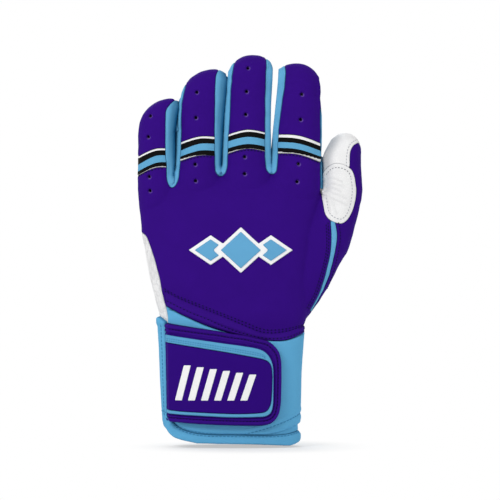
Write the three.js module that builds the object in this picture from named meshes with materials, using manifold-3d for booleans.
// A left-hand batting glove that stands on its cuff with the fingers up.
// Millimetres, +Z to the fingertips, the back of the hand faces -Y, the thumb is at +X.
// The glove is lofted as one hollow hand and then parted along its seams, as its pattern pieces are.

import * as THREE from "three";
import { mergeVertices } from "three/addons/utils/BufferGeometryUtils.js";
import Module from "manifold-3d";

const wasm = await Module();
wasm.setup();

// Scale of the seam outlines: they are drawn in the columns and rows of a front view
const millimetresPerPixel = 0.6;
const middleColumn = 130.6;
const floorRow = 446;

// Fabric thicknesses and clearances
const wall = 1.6;
const seamGap = 0.3;
const layerGap = 0.3;
const flapThickness = 1.5;
const loopThickness = 0.8;
const hookThickness = 0.8;
const strapThickness = 1.7;
const bindingRise = 0.8;
const badgeThickness = 0.8;
const badgeRise = 0.4;
const emblemThickness = 0.7;
const hemThickness = 1.7;
const hemRollRise = 0.9;
const patchThickness = 1.0;
const elasticThickness = 0.8;

// Half depths of the hollow hand, front to back
const cuffHalfDepth = 20;
const wristHalfDepth = 18.5;
const heelHalfDepth = 17.5;
const palmHalfDepth = 15.5;
const upperPalmHalfDepth = 14.2;
const knuckleHalfDepth = 12.2;
const webHalfDepth = 9.4;
const fingerHalfDepth = 10.8;
const fingerRootHalfDepth = 5;
const thumbHalfDepth = 11;
const thumbBaseHalfDepth = 12.5;

// Places in depth
const bodyDepthPlace = 3.6;
const seamPlane = 2;
const forkSeamPlane = 4.5;
const thumbDepthPlace = 3;
const curlReach = 5;
const depthGap = 0.6;
const curlStartRow = 230;

// Width of the light-blue strip that shows beside the index finger
const indexSideShows = 0.8;

// Fingers
const fingerGap = 0.9;
const webOverlap = 7;
const webDepth = 32;
const outerInset = 3;
const bandWidth = 11.7;
const tipRoundDepth = 15;

// Cuff and strap
const palmEdgeRow = 322;
const anchorWrap = 6;
const badgeMargin = 0.4;

// Modelling
const overrun = 60;
const fingerSides = 16;
const innerFingerSides = 12;
const handSides = 28;
const innerHandSides = 20;
const sectionPower = 2.4;
const handPower = 2.8;
const bandSteps = 6;
const fabricRoughness = 0.7;

const purple = 0x320c7c;
const lightBlue = 0x5ca4d0;
const white = 0xf0f0f0;
const black = 0x0a0a0a;

// Each finger: columns of its edges at the web and near the tip, the rows of web and tip, how far
// below the tip each shoulder starts, where along its width the tip lies, and its knuckle band
const fingerPixels = {
  little: {
    rootLeft: 17.8, rootRight: 55, topLeft: 18.6, topRight: 59.4, tipRow: 98,
    leftDrop: 33, rightDrop: 9, apexShare: 0.82, webRow: 177.5,
    bandLeftRow: 157.2, bandMidRow: 148.4, bandRightRow: 147.8,
  },
  ring: {
    rootLeft: 56.7, rootRight: 101.3, topLeft: 60.8, topRight: 107.6, tipRow: 68.7,
    leftDrop: 34, rightDrop: 9.5, apexShare: 0.7, webRow: 171,
    bandLeftRow: 143, bandMidRow: 136.2, bandRightRow: 136.6,
  },
  middle: {
    rootLeft: 103, rootRight: 151.4, topLeft: 109.3, topRight: 153.2, tipRow: 54.5,
    leftDrop: 24, rightDrop: 14, apexShare: 0.57, webRow: 168,
    bandLeftRow: 135.4, bandMidRow: 129.2, bandRightRow: 133.2,
  },
  index: {
    rootLeft: 152.9, rootRight: 202.6, topLeft: 159, topRight: 202.4, tipRow: 62.5,
    leftDrop: 13, rightDrop: 28, apexShare: 0.43, webRow: 170,
    bandLeftRow: 133.4, bandMidRow: 134.8, bandRightRow: 144,
  },
};

// Palm, wrist and cuff: row, left and right column, half depth
const handPixels = [
  [446, 48.5, 178, cuffHalfDepth],
  [415, 45.6, 178.2, cuffHalfDepth],
  [379, 44.2, 179.3, cuffHalfDepth],
  [349, 43.4, 180.8, cuffHalfDepth],
  [331, 42, 182.5, wristHalfDepth],
  [317, 40.4, 184.5, wristHalfDepth],
  [301, 36.2, 187, heelHalfDepth],
  [277, 30.3, 190, heelHalfDepth],
  [253, 26, 193, heelHalfDepth],
  [235, 22.6, 196, palmHalfDepth],
  [217, 21.2, 199, upperPalmHalfDepth],
  [205, 20, 200.5, knuckleHalfDepth],
  [196, 19.6, 201, webHalfDepth],
  [190, 20.5, 200.5, fingerRootHalfDepth],
];

// Thumb below its tip: row, left and right column, half depth
const thumbPixels = [
  [322, 160, 182, fingerRootHalfDepth],
  [311, 152, 190.5, thumbBaseHalfDepth],
  [289, 150, 206, thumbBaseHalfDepth],
  [265, 158, 220, thumbBaseHalfDepth],
  [241, 170, 232, thumbBaseHalfDepth],
  [223, 183, 236.5, thumbBaseHalfDepth],
  [205, 195, 241, thumbHalfDepth],
  [192, 202, 243, thumbHalfDepth],
  [188, 203.6, 243, thumbHalfDepth],
  [166, 203.8, 242.4, thumbHalfDepth],
];
const thumbTipPixels = { tipRow: 132.8, leftDrop: 33, rightDrop: 19, apexShare: 0.57 };

// The forks between the fingers: down the seam on one finger, round below the web and up the next
const forkTopRow = 40;
const forkPixels = {
  little_ring: [
    [62, 80], [60, 95], [56.1, 99.3], [51.4, 103.6], [47.3, 109.8], [46.6, 118], [46.3, 136], [46.6, 155],
    [47.5, 165], [49, 181], [53.6, 188.4], [57.6, 185.4], [59.8, 177.3], [60.9, 165], [61.9, 127], [62, 112],
    [63.6, 97], [66.6, 83], [68, 70],
  ],
  ring_middle: [
    [108, 50], [104, 62], [99.2, 69.6], [96.3, 79], [95.8, 110], [95.9, 146], [96.8, 168.7], [101.1, 175.2],
    [106.6, 171.5], [108.3, 164], [109.3, 146], [111.7, 107.4], [113.6, 74], [115.4, 62], [118, 50],
  ],
  middle_index: [
    [150, 45], [147, 57], [147, 69], [146.2, 102.6], [145.9, 150.5], [148, 168.7], [153.2, 174.4],
    [158, 168.7], [159.6, 145.7], [161.8, 117], [165.7, 88.3], [166.9, 76.8], [165.5, 62], [162, 50],
  ],
};

// Other seam outlines, as columns and rows
const wedgeSeamPixels = [
  [22, 233], [28.7, 238], [35, 256], [40.6, 276], [44.4, 297], [47.2, 308], [49.2, 323],
];
const hemEdgePixels = [
  [47, 306], [66, 315], [86, 325], [105, 332], [127, 337], [151, 340], [168, 339.5], [186, 333],
];
const hemSeamPixels = [
  [44.5, 291.4], [59.6, 298.7], [80.8, 307.3], [106.7, 317.6], [126.8, 326.3], [145.1, 332.6], [163.5, 332],
  [188, 326.5],
];
const gussetLeftPixels = [
  [190, 311], [198, 297], [202, 287], [207, 270.6], [211, 253], [213, 236], [212, 221],
];
const gussetRightPixels = [
  [193, 311], [200.7, 297], [206, 287], [212, 270.6], [216, 253], [218.6, 236], [216.5, 221],
];
const patchSeamPixels = [
  [203, 180], [204.5, 173], [209, 167], [215, 163.8], [223, 165], [230.3, 168.7], [235, 177], [237, 189],
  [236, 202], [230.6, 216.5], [222.4, 223.6], [214, 222], [207, 213], [203.2, 199],
];
const thumbBackSeamPixels = [[238.5, 142], [232.5, 149], [229.8, 159], [230.3, 168.7]];
const flapEdgePixels = [
  [47.5, 415], [53, 423], [60, 428.5], [77, 432.2], [100, 434.4], [118.7, 435.2], [135, 434.6],
  [152, 432.8], [166, 429.5], [178.4, 424.5], [200, 418],
];
const cuffLeftCornerPixels = [
  [40, 418], [46, 424], [50, 431], [56, 437], [68.6, 441.5], [84, 444], [100, 446],
];
const cuffLeftCutPixels = [[100, 470], [20, 470], [20, 418]];
const cuffRightCornerPixels = [[160, 446], [170, 444.8], [177, 442], [181, 437.5], [184, 430]];
const cuffRightCutPixels = [[200, 430], [200, 470], [160, 470]];
const strapEdgePixels = [
  [46, 324], [75, 327.5], [102, 331.5], [125, 335], [142, 339], [153, 345], [160, 354], [162.6, 366],
  [162.3, 390], [161, 407], [156.5, 418], [148, 424], [130, 425], [95.7, 424], [70, 422.5], [48.6, 420],
];
const anchorBandPixels = [[36, 318], [41, 319.5], [45, 322.5], [47.4, 421], [45, 424], [36, 417]];
const loopPatchPixels = [[92, 350], [150, 358], [156, 372], [156, 406], [150, 411], [92, 412]];
const hookPatchPixels = [[104, 352], [150, 358], [152, 408], [104, 410]];
const thumbPalmSeamPixels = [[203, 197], [214, 207], [226, 216], [240, 223], [260, 228]];
const strapRootPixels = [[50.6, 327.5], [56, 328.3], [58, 416], [52.6, 416]];
const badgePixels = [
  [46.6, 334.4], [92, 341.2], [137, 348.8], [150, 356], [154.7, 367], [154.3, 402], [148.3, 415],
  [134, 417.6], [95, 416.6], [48.6, 412.6],
];
const badgeFieldPixels = [
  [47, 342.4], [96, 350.2], [143.5, 358.4], [151, 364.5], [151.6, 384], [151, 402], [145, 412],
  [119, 413.4], [84, 411.6], [48.4, 408.4],
];
const hemTopPixels = [
  [5, 408], [44, 409], [50, 416], [58, 424.5], [70, 431], [88, 434.3], [110, 435.6], [150, 436], [240, 436],
];
const heelPatchPixels = [
  [52, 252], [60, 238], [84, 232], [110, 236], [128, 250], [130, 272], [118, 292], [92, 300], [66, 294],
  [54, 276],
];
const elasticPixels = [[66, 327], [156, 327], [156, 342], [66, 342]];

// Where the regions of the fabric run on past its silhouette
const leftOutside = 5;
const rightOutside = 270;
const aboveTips = 30;
const belowFloor = 500;
const indexRightColumn = 203.2;
const indexSideTopRow = 84;
const indexSideBottomRow = 189;
const indexSideRightColumn = 203;
const thumbBackPixels = [[232, 178], [228, 205], [217, 221]];
const thumbBackOutsidePixels = [[193, 316], [rightOutside, 316], [rightOutside, 142]];
const backLeftPixels = [[leftOutside, aboveTips], [leftOutside, 233]];
const backCornerPixels = [[189, 320]];
const backThumbPixels = [
  [220, 214], [214, 200], [206, 191], [indexRightColumn, 189], [indexRightColumn, aboveTips],
];
const wedgeTopPixels = [[leftOutside, 233]];
const wedgeBottomPixels = [[46, 322.5], [38, 318.5], [leftOutside, 318.5]];
const palmEdgePixels = [[rightOutside, 318], [190, 322], [110, 327], [42, 322], [leftOutside, 322]];
const sleeveTopPixels = [[leftOutside, 323], [42, 323], [110, 328], [190, 323], [rightOutside, 319]];
const sleeveFrontPixels = [[leftOutside, 319.5], [38, 319.5], [46, 323.5], [49.8, 324], [48.2, 309]];
const sleeveFrontRightPixels = [[190, 322], [rightOutside, 322]];
const thumbAbovePixels = [[indexRightColumn, 120]];
const thumbOutsidePixels = [[rightOutside, 120]];
const thumbFrontPixels = [
  [indexRightColumn, 120], [indexRightColumn, 184], [230, 200], [rightOutside, 200], [rightOutside, 120],
];
const belowGlovePixels = [[rightOutside, belowFloor], [leftOutside, belowFloor]];
const flapLeftPixels = [[47.9, 309]];
const flapRightPixels = [[200, 330]];
const flapWrapPixels = [[150, 334], [200, 330], [200, 418], [150, 420]];
const hemBindingEndPixels = [[190, 331]];
const emblemPixels = {
  column: 121.5, row: 250, halfWidth: 25, halfHeight: 23,
  sideShift: 30, sideHalfWidth: 22, sideHalfHeight: 15, line: 3.4,
};

const column = (pixelColumn) => (pixelColumn - middleColumn) * millimetresPerPixel;
const height = (pixelRow) => (floorRow - pixelRow) * millimetresPerPixel;
const place = ([pixelColumn, pixelRow]) => new THREE.Vector2(column(pixelColumn), height(pixelRow));
const outline = (pixels) => pixels.map(place);

// A smooth seam through a few chosen points
function seam(pixels, stepsPerPoint = 2) {
  return new THREE.SplineCurve(outline(pixels)).getPoints((pixels.length - 1) * stepsPerPoint);
}

// Solids

function solidOf(geometry) {
  const bare = geometry.clone();
  bare.deleteAttribute("normal");
  bare.deleteAttribute("uv");
  const merged = mergeVertices(bare);
  return new wasm.Manifold(new wasm.Mesh({
    numProp: 3,
    vertProperties: merged.attributes.position.array,
    triVerts: new Uint32Array(merged.index.array),
  }));
}

const joined = (solids) => solids.reduce((whole, solid) => whole.add(solid));
const cut = (solid, ...tools) => tools.reduce((rest, tool) => rest.subtract(tool), solid);

// A closed loft of level sections, each a rounded oval between a left and a right edge
function loft(sections, sides, power) {
  const positions = [];
  const triangles = [];
  for (const { z, left, right, halfDepth, depthPlace } of sections) {
    for (let side = 0; side < sides; side += 1) {
      const angle = (2 * Math.PI * side) / sides;
      const across = Math.sign(Math.cos(angle)) * Math.abs(Math.cos(angle)) ** (2 / power);
      const through = Math.sign(Math.sin(angle)) * Math.abs(Math.sin(angle)) ** (2 / power);
      const x = (left + right) / 2 + (across * (right - left)) / 2;
      positions.push(x, depthPlace + through * halfDepth, z);
    }
  }
  const bottomPoint = positions.length / 3;
  for (const { z, left, right, depthPlace } of [sections[0], sections.at(-1)]) {
    positions.push((left + right) / 2, depthPlace, z);
  }
  const lastRing = (sections.length - 1) * sides;
  for (let side = 0; side < sides; side += 1) {
    const next = (side + 1) % sides;
    triangles.push(bottomPoint, next, side, bottomPoint + 1, lastRing + side, lastRing + next);
    for (let ring = 0; ring < lastRing; ring += sides) {
      triangles.push(ring + side, ring + next, ring + sides + next);
      triangles.push(ring + side, ring + sides + next, ring + sides + side);
    }
  }
  const geometry = new THREE.BufferGeometry();
  geometry.setAttribute("position", new THREE.Float32BufferAttribute(positions, 3));
  geometry.setIndex(triangles);
  return solidOf(geometry);
}

// An outline in front view, extruded through the glove from one depth to another
function prism(points, nearDepth = -overrun, farDepth = overrun) {
  const shape = new THREE.Shape(points);
  const geometry = new THREE.ExtrudeGeometry(shape, { depth: farDepth - nearDepth, bevelEnabled: false });
  geometry.rotateX(Math.PI / 2);
  geometry.translate(0, farDepth, 0);
  return solidOf(geometry);
}

// The outline moved outwards, or inwards where the distance is negative
function grown(points, distance) {
  const turn = THREE.ShapeUtils.isClockWise(points) ? -1 : 1;
  return points.map((point, i) => {
    const before = points.at(i - 1);
    const after = points[(i + 1) % points.length];
    const first = point.clone().sub(before).normalize();
    const second = after.clone().sub(point).normalize();
    const normal = new THREE.Vector2(first.y + second.y, -first.x - second.x).normalize();
    const mitre = Math.max(normal.x * first.y - normal.y * first.x, 1 / 2);
    return point.clone().addScaledVector(normal, (turn * distance) / mitre);
  });
}

// Limbs of the hollow hand

const quarterRound = (share) => 1 - Math.sqrt(Math.max(1 - share * share, 0));
const tipShares = [0, 0.4, 0.68, 0.87, 0.97];

// The sections that close a finger or the thumb over its tip
function tipSections(limb, left, right, halfDepth, depthPlace, offset) {
  const tip = height(limb.tipRow) + offset;
  const leftDrop = limb.leftDrop * millimetresPerPixel;
  const rightDrop = limb.rightDrop * millimetresPerPixel;
  const drop = Math.max(leftDrop, rightDrop, tipRoundDepth);
  return tipShares.map((share) => {
    const z = tip - drop * (1 - share);
    const below = tip - z;
    const leftRound = quarterRound(Math.max(1 - below / leftDrop, 0));
    const rightRound = quarterRound(Math.max(1 - below / rightDrop, 0));
    const depthRound = quarterRound(Math.max(1 - below / tipRoundDepth, 0));
    const width = right - left;
    return {
      z,
      left: left + leftRound * limb.apexShare * width,
      right: right - rightRound * (1 - limb.apexShare) * width,
      halfDepth: halfDepth * (1 - depthRound),
      depthPlace,
    };
  });
}

// The straight edge line of a finger at a height
function fingerEdge(finger, side, z) {
  const web = height(finger.webRow);
  const top = height(finger.tipRow);
  const share = (z - web) / (top - web);
  const root = column(side < 0 ? finger.rootLeft : finger.rootRight);
  const tip = column(side < 0 ? finger.topLeft : finger.topRight);
  return root + (tip - root) * share;
}

// Below the web: how far down, how much of the overlap and of the inset is reached, and the depth there
const rootShares = [
  { below: 0.66, widen: 0.85, inset: 0.6, depth: 0.82 },
  { below: 0.36, widen: 0.5, inset: 0.25, depth: 0.96 },
  { below: 0.12, widen: 0.2, inset: 0.05, depth: 1 },
];
const shaftShares = [0.3, 0.55];

function fingerSolid(finger, offset) {
  const web = height(finger.webRow);
  const clear = fingerGap / 2;
  const span = height(finger.tipRow) - web;
  // Below the web the finger widens into its neighbours, draws in at its free side and sinks into the palm
  const levels = [
    { z: web - webDepth, widen: webOverlap, inset: outerInset, halfDepth: fingerRootHalfDepth },
    ...rootShares.map(({ below, widen, inset, depth }) => ({
      z: web - below * webDepth,
      widen: widen * webOverlap,
      inset: inset * outerInset,
      halfDepth: depth * fingerHalfDepth,
    })),
    { z: web, widen: clear + seamGap, inset: 0, halfDepth: fingerHalfDepth },
    { z: web + fingerGap * 2, widen: 0, inset: 0, halfDepth: fingerHalfDepth },
    ...shaftShares.map((share) => (
      { z: web + share * span, widen: 0, inset: 0, halfDepth: fingerHalfDepth }
    )),
  ];
  const sections = levels.map(({ z, widen, inset, halfDepth }) => ({
    z,
    left: fingerEdge(finger, -1, z) - (finger === fingerPixels.little ? -inset : widen) - offset,
    right: fingerEdge(finger, 1, z) + (finger === fingerPixels.index ? -inset : widen) + offset,
    halfDepth: halfDepth + offset,
    depthPlace: bodyDepthPlace,
  }));
  const top = height(finger.tipRow);
  const left = fingerEdge(finger, -1, top) - offset;
  const right = fingerEdge(finger, 1, top) + offset;
  const tips = tipSections(finger, left, right, fingerHalfDepth + offset, bodyDepthPlace, offset);
  return loft([...sections, ...tips], offset < 0 ? innerFingerSides : fingerSides, sectionPower);
}

const levelSections = (rows, depthPlace, offset) => rows.map(([row, left, right, halfDepth]) => ({
  z: height(row),
  left: column(left) - offset,
  right: column(right) + offset,
  halfDepth: halfDepth + offset,
  depthPlace,
}));

function thumbSolid(offset) {
  const sections = levelSections(thumbPixels, bodyDepthPlace + thumbDepthPlace, offset);
  const { left, right, halfDepth, depthPlace } = sections.at(-1);
  sections.pop();
  const tips = tipSections(thumbTipPixels, left, right, halfDepth, depthPlace, offset);
  return loft([...sections, ...tips], offset < 0 ? innerFingerSides : fingerSides, sectionPower);
}

// The palm, wrist and cuff; the hollow runs out through the bottom
function handSolid(offset) {
  const sections = levelSections(handPixels, bodyDepthPlace, offset);
  if (offset < 0) sections.unshift({ ...sections[0], z: -overrun });
  return loft(sections, offset < 0 ? innerHandSides : handSides, handPower);
}

const gloveCache = new Map();

// The whole hand, grown or shrunk by an offset from the outer face of its fabric
function glove(offset) {
  if (!gloveCache.has(offset)) {
    const limbs = Object.values(fingerPixels).map((finger) => fingerSolid(finger, offset));
    gloveCache.set(offset, joined([handSolid(offset), thumbSolid(offset), ...limbs]));
  }
  return gloveCache.get(offset);
}

const fabric = glove(0).subtract(glove(-wall));

// A piece sewn on top of the fabric, between two heights above it
const layer = (low, high) => glove(high).subtract(glove(low));

const { little, index } = fingerPixels;
const forkOutlines = Object.fromEntries(
  Object.entries(forkPixels).map(([name, pixels]) => [name, seam(pixels, 1)]),
);
const forkDepth = bodyDepthPlace + forkSeamPlane;
const forkTools = Object.values(forkOutlines).map((points) => (
  prism(grown(points, seamGap), -overrun, forkDepth + depthGap)
));

// Depths of the seams between the front and the palm pieces
const frontSeam = bodyDepthPlace + seamPlane;
const thumbSeam = bodyDepthPlace + thumbDepthPlace + seamPlane;

// The band across a finger and all that lies above a line of it, out to the gaps beside the finger
const gapReach = fingerGap / 2;
const leftReach = (finger) => (finger === little ? overrun : gapReach);

function bandLine(finger, below) {
  const rows = [finger.bandLeftRow, finger.bandMidRow, finger.bandRightRow];
  const [leftUp, middleUp, rightUp] = rows.map((row) => height(row) - below);
  const left = fingerEdge(finger, -1, leftUp);
  const right = fingerEdge(finger, 1, rightUp);
  const curve = new THREE.SplineCurve([
    new THREE.Vector2(left, leftUp),
    new THREE.Vector2((left + right) / 2, middleUp),
    new THREE.Vector2(right, rightUp),
  ]);
  return [
    new THREE.Vector2(left - leftReach(finger), leftUp),
    ...curve.getPoints(bandSteps),
    new THREE.Vector2(right + gapReach, rightUp),
  ];
}

function aboveBand(finger, below) {
  const top = height(forkTopRow);
  return [
    ...bandLine(finger, below),
    new THREE.Vector2(fingerEdge(finger, 1, top) + gapReach, top),
    new THREE.Vector2(fingerEdge(finger, -1, top) - leftReach(finger), top),
  ];
}

const bandOutline = (finger) => [...bandLine(finger, bandWidth), ...bandLine(finger, 0).reverse()];

// The strip along the thumb side of the index finger
const indexSideLeft = (row) => fingerEdge(index, 1, height(row)) - indexSideShows;
const indexSideOutline = [
  new THREE.Vector2(indexSideLeft(indexSideBottomRow), height(indexSideBottomRow)),
  new THREE.Vector2(column(indexSideRightColumn), height(indexSideBottomRow)),
  new THREE.Vector2(column(indexSideRightColumn), height(indexSideTopRow)),
  new THREE.Vector2(indexSideLeft(indexSideTopRow), height(indexSideTopRow)),
];

// Front regions of the body
const gussetOutline = [...seam(gussetLeftPixels), ...seam(gussetRightPixels).reverse()];
const patchOutline = outline(patchSeamPixels);
const thumbBackOutline = [
  ...seam(thumbBackSeamPixels),
  ...outline(thumbBackPixels),
  ...seam(gussetRightPixels).reverse(),
  ...outline(thumbBackOutsidePixels),
];
const backOutline = [
  ...outline(backLeftPixels),
  ...seam(wedgeSeamPixels.slice(0, -1)),
  ...seam(hemEdgePixels),
  ...outline(backCornerPixels),
  ...seam(gussetLeftPixels),
  ...outline(backThumbPixels),
];
const wedgeOutline = [...outline(wedgeTopPixels), ...seam(wedgeSeamPixels), ...outline(wedgeBottomPixels)];
const palmTopPixels = [[leftOutside, aboveTips], [rightOutside, aboveTips]];
const palmOutline = outline([...palmTopPixels, ...palmEdgePixels]);
const thumbOutline = [
  ...outline(thumbAbovePixels),
  ...seam(thumbPalmSeamPixels),
  ...outline(thumbOutsidePixels),
];

const mesh = (name, solid, color) => {
  const { vertProperties, triVerts } = solid.getMesh();
  const positions = Float32Array.from(vertProperties);
  const curlStart = height(curlStartRow);
  const curlSpan = height(fingerPixels.middle.tipRow) - curlStart;
  for (let i = 0; i < positions.length; i += 3) {
    const share = Math.max(positions[i + 2] - curlStart, 0) / curlSpan;
    positions[i + 1] += curlReach * share * share;
  }
  const geometry = new THREE.BufferGeometry();
  geometry.setAttribute("position", new THREE.BufferAttribute(positions, 3));
  geometry.setIndex(new THREE.BufferAttribute(triVerts, 1));
  geometry.computeVertexNormals();
  const material = new THREE.MeshStandardMaterial({ color, roughness: fabricRoughness, metalness: 0 });
  const piece = new THREE.Mesh(geometry, material);
  piece.name = name;
  return piece;
};

const group = new THREE.Group();
const addFabric = (name, solid, color) => group.add(mesh(name, solid, color));

// Back of the hand, finger backs and knuckle bands
const fingerTools = Object.values(fingerPixels).map((finger) => (
  prism(grown(aboveBand(finger, bandWidth), seamGap))
));
const thumbTools = [thumbBackOutline, gussetOutline, patchOutline].map((points) => (
  prism(grown(points, seamGap))
));
const indexSideTool = prism(grown(indexSideOutline, seamGap));

addFabric(
  "back_of_hand",
  cut(
    fabric.intersect(prism(backOutline, -overrun, frontSeam)),
    ...forkTools,
    ...fingerTools,
    ...thumbTools,
    indexSideTool,
  ),
  purple,
);
for (const [name, finger] of Object.entries(fingerPixels)) {
  const back = prism(aboveBand(finger, 0), -overrun, frontSeam);
  const band = prism(grown(bandOutline(finger), -seamGap), -overrun, frontSeam);
  const sideTools = name === "index" ? [indexSideTool] : [];
  addFabric(`finger_back_${name}`, cut(fabric.intersect(back), ...forkTools, ...sideTools), purple);
  addFabric(`knuckle_band_${name}`, cut(fabric.intersect(band), ...forkTools, ...sideTools), lightBlue);
}

// Forks between the fingers, and the strip beside the index finger
for (const [name, points] of Object.entries(forkOutlines)) {
  addFabric(`fork_${name}`, fabric.intersect(prism(points, -overrun, forkDepth)), lightBlue);
}
addFabric(
  "index_side_strip",
  fabric.intersect(prism(indexSideOutline, -overrun, frontSeam)),
  lightBlue,
);

// Thumb
const thumbTool = prism(grown(thumbOutline, seamGap));
const patchTool = prism(grown(patchOutline, seamGap));
addFabric(
  "thumb_back",
  cut(fabric.intersect(prism(thumbBackOutline, -overrun, thumbSeam)), patchTool),
  purple,
);
addFabric("thumb_patch", fabric.intersect(prism(patchOutline, -overrun, thumbSeam)), white);
addFabric(
  "thumb_gusset",
  cut(fabric.intersect(prism(grown(gussetOutline, -seamGap), -overrun, frontSeam)), patchTool),
  lightBlue,
);
const thumbLeatherRegion = joined([
  prism(thumbOutline, thumbSeam - wall, overrun),
  prism(outline(thumbFrontPixels), -overrun, thumbSeam),
]);
const thumbBackTool = prism(grown(thumbBackOutline, seamGap), -overrun, thumbSeam + depthGap);
const patchFrontTool = prism(grown(patchOutline, seamGap), -overrun, thumbSeam + depthGap);
const backTool = prism(grown(backOutline, seamGap), -overrun, frontSeam + depthGap);
addFabric(
  "thumb_leather",
  cut(
    fabric.intersect(thumbLeatherRegion),
    thumbBackTool,
    patchFrontTool,
    prism(grown(gussetOutline, seamGap), -overrun, frontSeam + depthGap),
  ),
  white,
);

// Palm leather, which wraps round at the little-finger side, and its wear patch
const palmRegion = joined([
  prism(palmOutline, frontSeam + depthGap, overrun),
  prism(wedgeOutline, -overrun, frontSeam + wall),
]);
addFabric(
  "palm_leather",
  cut(fabric.intersect(palmRegion), ...forkTools, thumbTool, thumbBackTool, patchFrontTool, backTool),
  white,
);

// Cuff: under-layer sleeve, rolled hem, over-flap and the side band that takes the strap
const frontOnly = bodyDepthPlace;
const belowPalm = outline([...sleeveTopPixels, ...belowGlovePixels]);
const belowHem = seam(hemEdgePixels).map((point) => point.clone().setY(point.y - seamGap));
const belowBack = [
  ...outline(sleeveFrontPixels),
  ...belowHem,
  ...outline([...sleeveFrontRightPixels, ...belowGlovePixels]),
];
const cuffRegion = joined([
  prism(belowPalm, frontSeam - wall, overrun),
  prism(belowBack, -overrun, frontSeam),
]);
const cornerTools = [
  prism([...seam(cuffLeftCornerPixels), ...outline(cuffLeftCutPixels)]),
  prism([...seam(cuffRightCornerPixels), ...outline(cuffRightCutPixels)]),
];
const hemOutline = [...seam(hemTopPixels), ...outline(belowGlovePixels)];
const hemTool = prism(grown(hemOutline, seamGap));
addFabric("cuff_sleeve", cut(fabric.intersect(cuffRegion), hemTool, backTool), lightBlue);
const hemRoll = glove(hemRollRise).subtract(glove(-wall)).intersect(prism(hemOutline));
addFabric("cuff_hem", cut(hemRoll, ...cornerTools), lightBlue);

const flapLow = layerGap;
const flapHigh = flapLow + flapThickness;
const flapOutline = [
  ...outline(flapLeftPixels),
  ...belowHem.slice(1, -1),
  ...outline(flapRightPixels),
  ...seam(flapEdgePixels).reverse(),
];
const flapRegion = joined([
  prism(flapOutline, -overrun, frontSeam),
  prism(outline(flapWrapPixels), frontSeam - wall, overrun),
]);
const hemBindingOutline = [
  ...seam(hemSeamPixels),
  ...outline(hemBindingEndPixels),
  ...seam(hemEdgePixels).reverse(),
];
const hemBindingTool = prism(grown(hemBindingOutline, seamGap), -overrun, frontSeam + depthGap);
const flapLayer = layer(flapLow, flapHigh);
addFabric("cuff_flap", cut(flapLayer.intersect(flapRegion), hemTool, hemBindingTool), lightBlue);
const anchorRegion = prism(outline(anchorBandPixels), -overrun, frontSeam + anchorWrap);
addFabric("cuff_side_band", cut(flapLayer.intersect(anchorRegion), hemTool), lightBlue);

const loopLow = flapHigh + layerGap;
const loopHigh = loopLow + loopThickness;
const hookLow = loopHigh + layerGap;
const hookHigh = hookLow + hookThickness;
const strapLow = hookHigh + layerGap;
const strapHigh = strapLow + strapThickness;
const frontPrism = (points) => prism(points, -overrun, frontOnly);
addFabric("loop_patch", layer(loopLow, loopHigh).intersect(frontPrism(outline(loopPatchPixels))), black);
addFabric("strap_root", layer(loopLow, hookHigh).intersect(frontPrism(outline(strapRootPixels))), purple);

// Binding along the hem of the back of the hand
addFabric(
  "hem_binding",
  layer(layerGap, layerGap + hemThickness).intersect(prism(hemBindingOutline, -overrun, frontSeam)),
  purple,
);

// Wear patch at the heel of the palm, and the elastic sewn inside the wrist
const heelOutline = outline(heelPatchPixels);
const heelRegion = prism(heelOutline, frontSeam + patchThickness, overrun);
addFabric("heel_patch", layer(layerGap, layerGap + patchThickness).intersect(heelRegion), white);
const elasticHigh = -wall - layerGap;
const elasticRegion = prism(outline(elasticPixels), frontSeam + wall, overrun);
addFabric(
  "wrist_elastic",
  layer(elasticHigh - elasticThickness, elasticHigh).intersect(elasticRegion),
  white,
);

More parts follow.
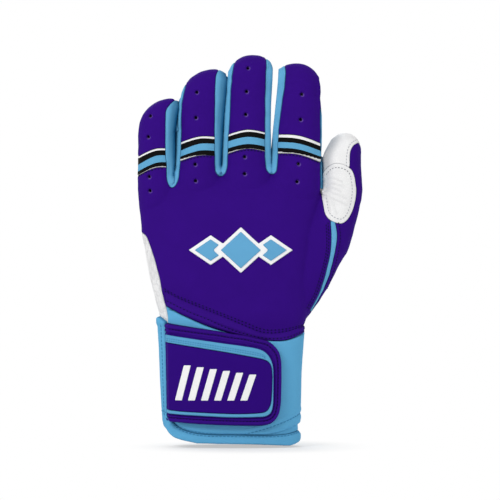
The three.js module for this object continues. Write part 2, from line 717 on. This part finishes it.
// Patch on the back of the hand: three lozenges in a row, light blue on white
function lozenge(columnShift, halfWidth, halfHeight) {
  const middlePoint = place([emblemPixels.column + columnShift, emblemPixels.row]);
  const halfAcross = halfWidth * millimetresPerPixel;
  const halfUp = halfHeight * millimetresPerPixel;
  return [
    new THREE.Vector2(middlePoint.x - halfAcross, middlePoint.y),
    new THREE.Vector2(middlePoint.x, middlePoint.y - halfUp),
    new THREE.Vector2(middlePoint.x + halfAcross, middlePoint.y),
    new THREE.Vector2(middlePoint.x, middlePoint.y + halfUp),
  ];
}
const { sideShift, sideHalfWidth, sideHalfHeight, halfWidth, halfHeight, line } = emblemPixels;
const lozenges = {
  left: lozenge(-sideShift, sideHalfWidth, sideHalfHeight),
  middle: lozenge(0, halfWidth, halfHeight),
  right: lozenge(sideShift, sideHalfWidth, sideHalfHeight),
};
const emblemLow = layerGap;
const emblemHigh = emblemLow + emblemThickness;
const inlayLow = emblemHigh + layerGap;
const inlayHigh = inlayLow + emblemThickness;
const emblemRegion = joined(Object.values(lozenges).map(frontPrism));
addFabric("back_patch", layer(emblemLow, emblemHigh).intersect(emblemRegion), white);
const lineWidth = line * millimetresPerPixel;
const middleTool = prism(grown(lozenges.middle, lineWidth / 2));
for (const [name, points] of Object.entries(lozenges)) {
  const inlay = layer(inlayLow, inlayHigh).intersect(frontPrism(grown(points, -lineWidth)));
  addFabric(`back_patch_inlay_${name}`, name === "middle" ? inlay : inlay.subtract(middleTool), lightBlue);
}

// Strap: body, rolled binding on its three free sides, moulded badge, and the hook patch underneath
const strapOutline = seam(strapEdgePixels, 1);
const badgeOutline = seam(badgePixels, 1);
const fieldOutline = seam(badgeFieldPixels, 1);
const strapLayer = layer(strapLow, strapHigh);
addFabric("strap_body", strapLayer.intersect(frontPrism(grown(badgeOutline, badgeMargin))), purple);
const bindingRegion = frontPrism(strapOutline).subtract(prism(grown(badgeOutline, badgeMargin + seamGap)));
addFabric("strap_binding", layer(strapLow, strapHigh + bindingRise).intersect(bindingRegion), purple);
const badgeLow = strapHigh + layerGap;
const badgeHigh = badgeLow + badgeThickness;
const fieldTool = prism(grown(fieldOutline, seamGap));
const borderLayer = layer(badgeLow, badgeHigh + badgeRise);
addFabric("badge_border", borderLayer.intersect(frontPrism(badgeOutline)).subtract(fieldTool), lightBlue);
addFabric("badge_field", layer(badgeLow, badgeHigh).intersect(frontPrism(fieldOutline)), purple);
const hookRegion = frontPrism(outline(hookPatchPixels));
addFabric("strap_hook_patch", layer(hookLow, hookHigh).intersect(hookRegion), black);

export default group;
